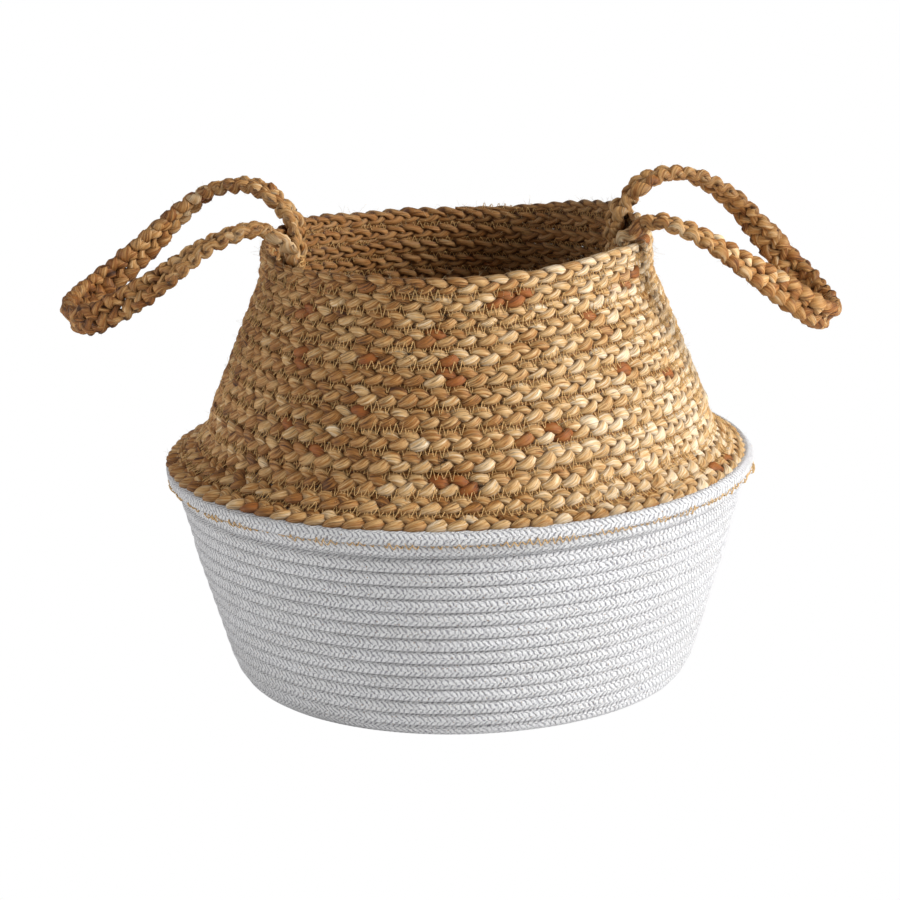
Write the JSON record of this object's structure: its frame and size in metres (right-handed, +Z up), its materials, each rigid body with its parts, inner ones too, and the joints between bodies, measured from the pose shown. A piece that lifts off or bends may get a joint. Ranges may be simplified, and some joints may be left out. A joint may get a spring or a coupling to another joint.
{
  "type": "rope basket",
  "caption": "Round belly basket: a bowl of wound cotton rope with a flared lip, a cone of wound jute braid that narrows to the mouth, and braided loop handles at the sides.",
  "frame": {"origin": "centre of the base's flat underside, on the floor", "axes": "+Z up along the basket's axis, +X to the right handle, +Y to the back"},
  "size_m": [0.4597, 0.3501, 0.2946],
  "materials": {
    "cotton_rope": "undyed white cotton, round braid with a herringbone lay, matt",
    "jute_braid": "natural jute, flat three-strand braid, straw to dark tan, fibrous with a faint sheen",
    "handle_braid": "natural jute, flat five-strand braid, darker tan, fibrous with a faint sheen",
    "sewing_thread": "waxed golden tan sewing thread"
  },
  "bodies": {
    "bowl": {"cotton_base": "cotton_rope", "cotton_wall": "cotton_rope", "waist_seam_thread": "sewing_thread"},
    "mouth": {"jute_wall": "jute_braid", "handle_left_back_tail": "handle_braid", "handle_left_front_tail": "handle_braid", "handle_left_back_lashing": "sewing_thread", "handle_left_front_lashing": "sewing_thread", "handle_right_back_tail": "handle_braid", "handle_right_front_tail": "handle_braid", "handle_right_back_lashing": "sewing_thread", "handle_right_front_lashing": "sewing_thread"},
    "left_handle_loop": {"handle_left": "handle_braid"},
    "right_handle_loop": {"handle_right": "handle_braid"}
  },
  "joints": [
    {"name": "mouth_press", "type": "slide", "parent": "bowl", "child": "mouth", "axis": [0, 0, -1], "range_m": [0, 0.045], "deforming": ["jute_wall"]},
    {"name": "handle_left_swing", "type": "hinge", "parent": "mouth", "child": "left_handle_loop", "pos_m": [-0.09818, 0, 0.271], "axis": [0, 1, 0], "range_deg": [-20, 95]},
    {"name": "handle_right_swing", "type": "hinge", "parent": "mouth", "child": "right_handle_loop", "pos_m": [0.09818, 0, 0.271], "axis": [0, -1, 0], "range_deg": [-20, 95]}
  ]
}
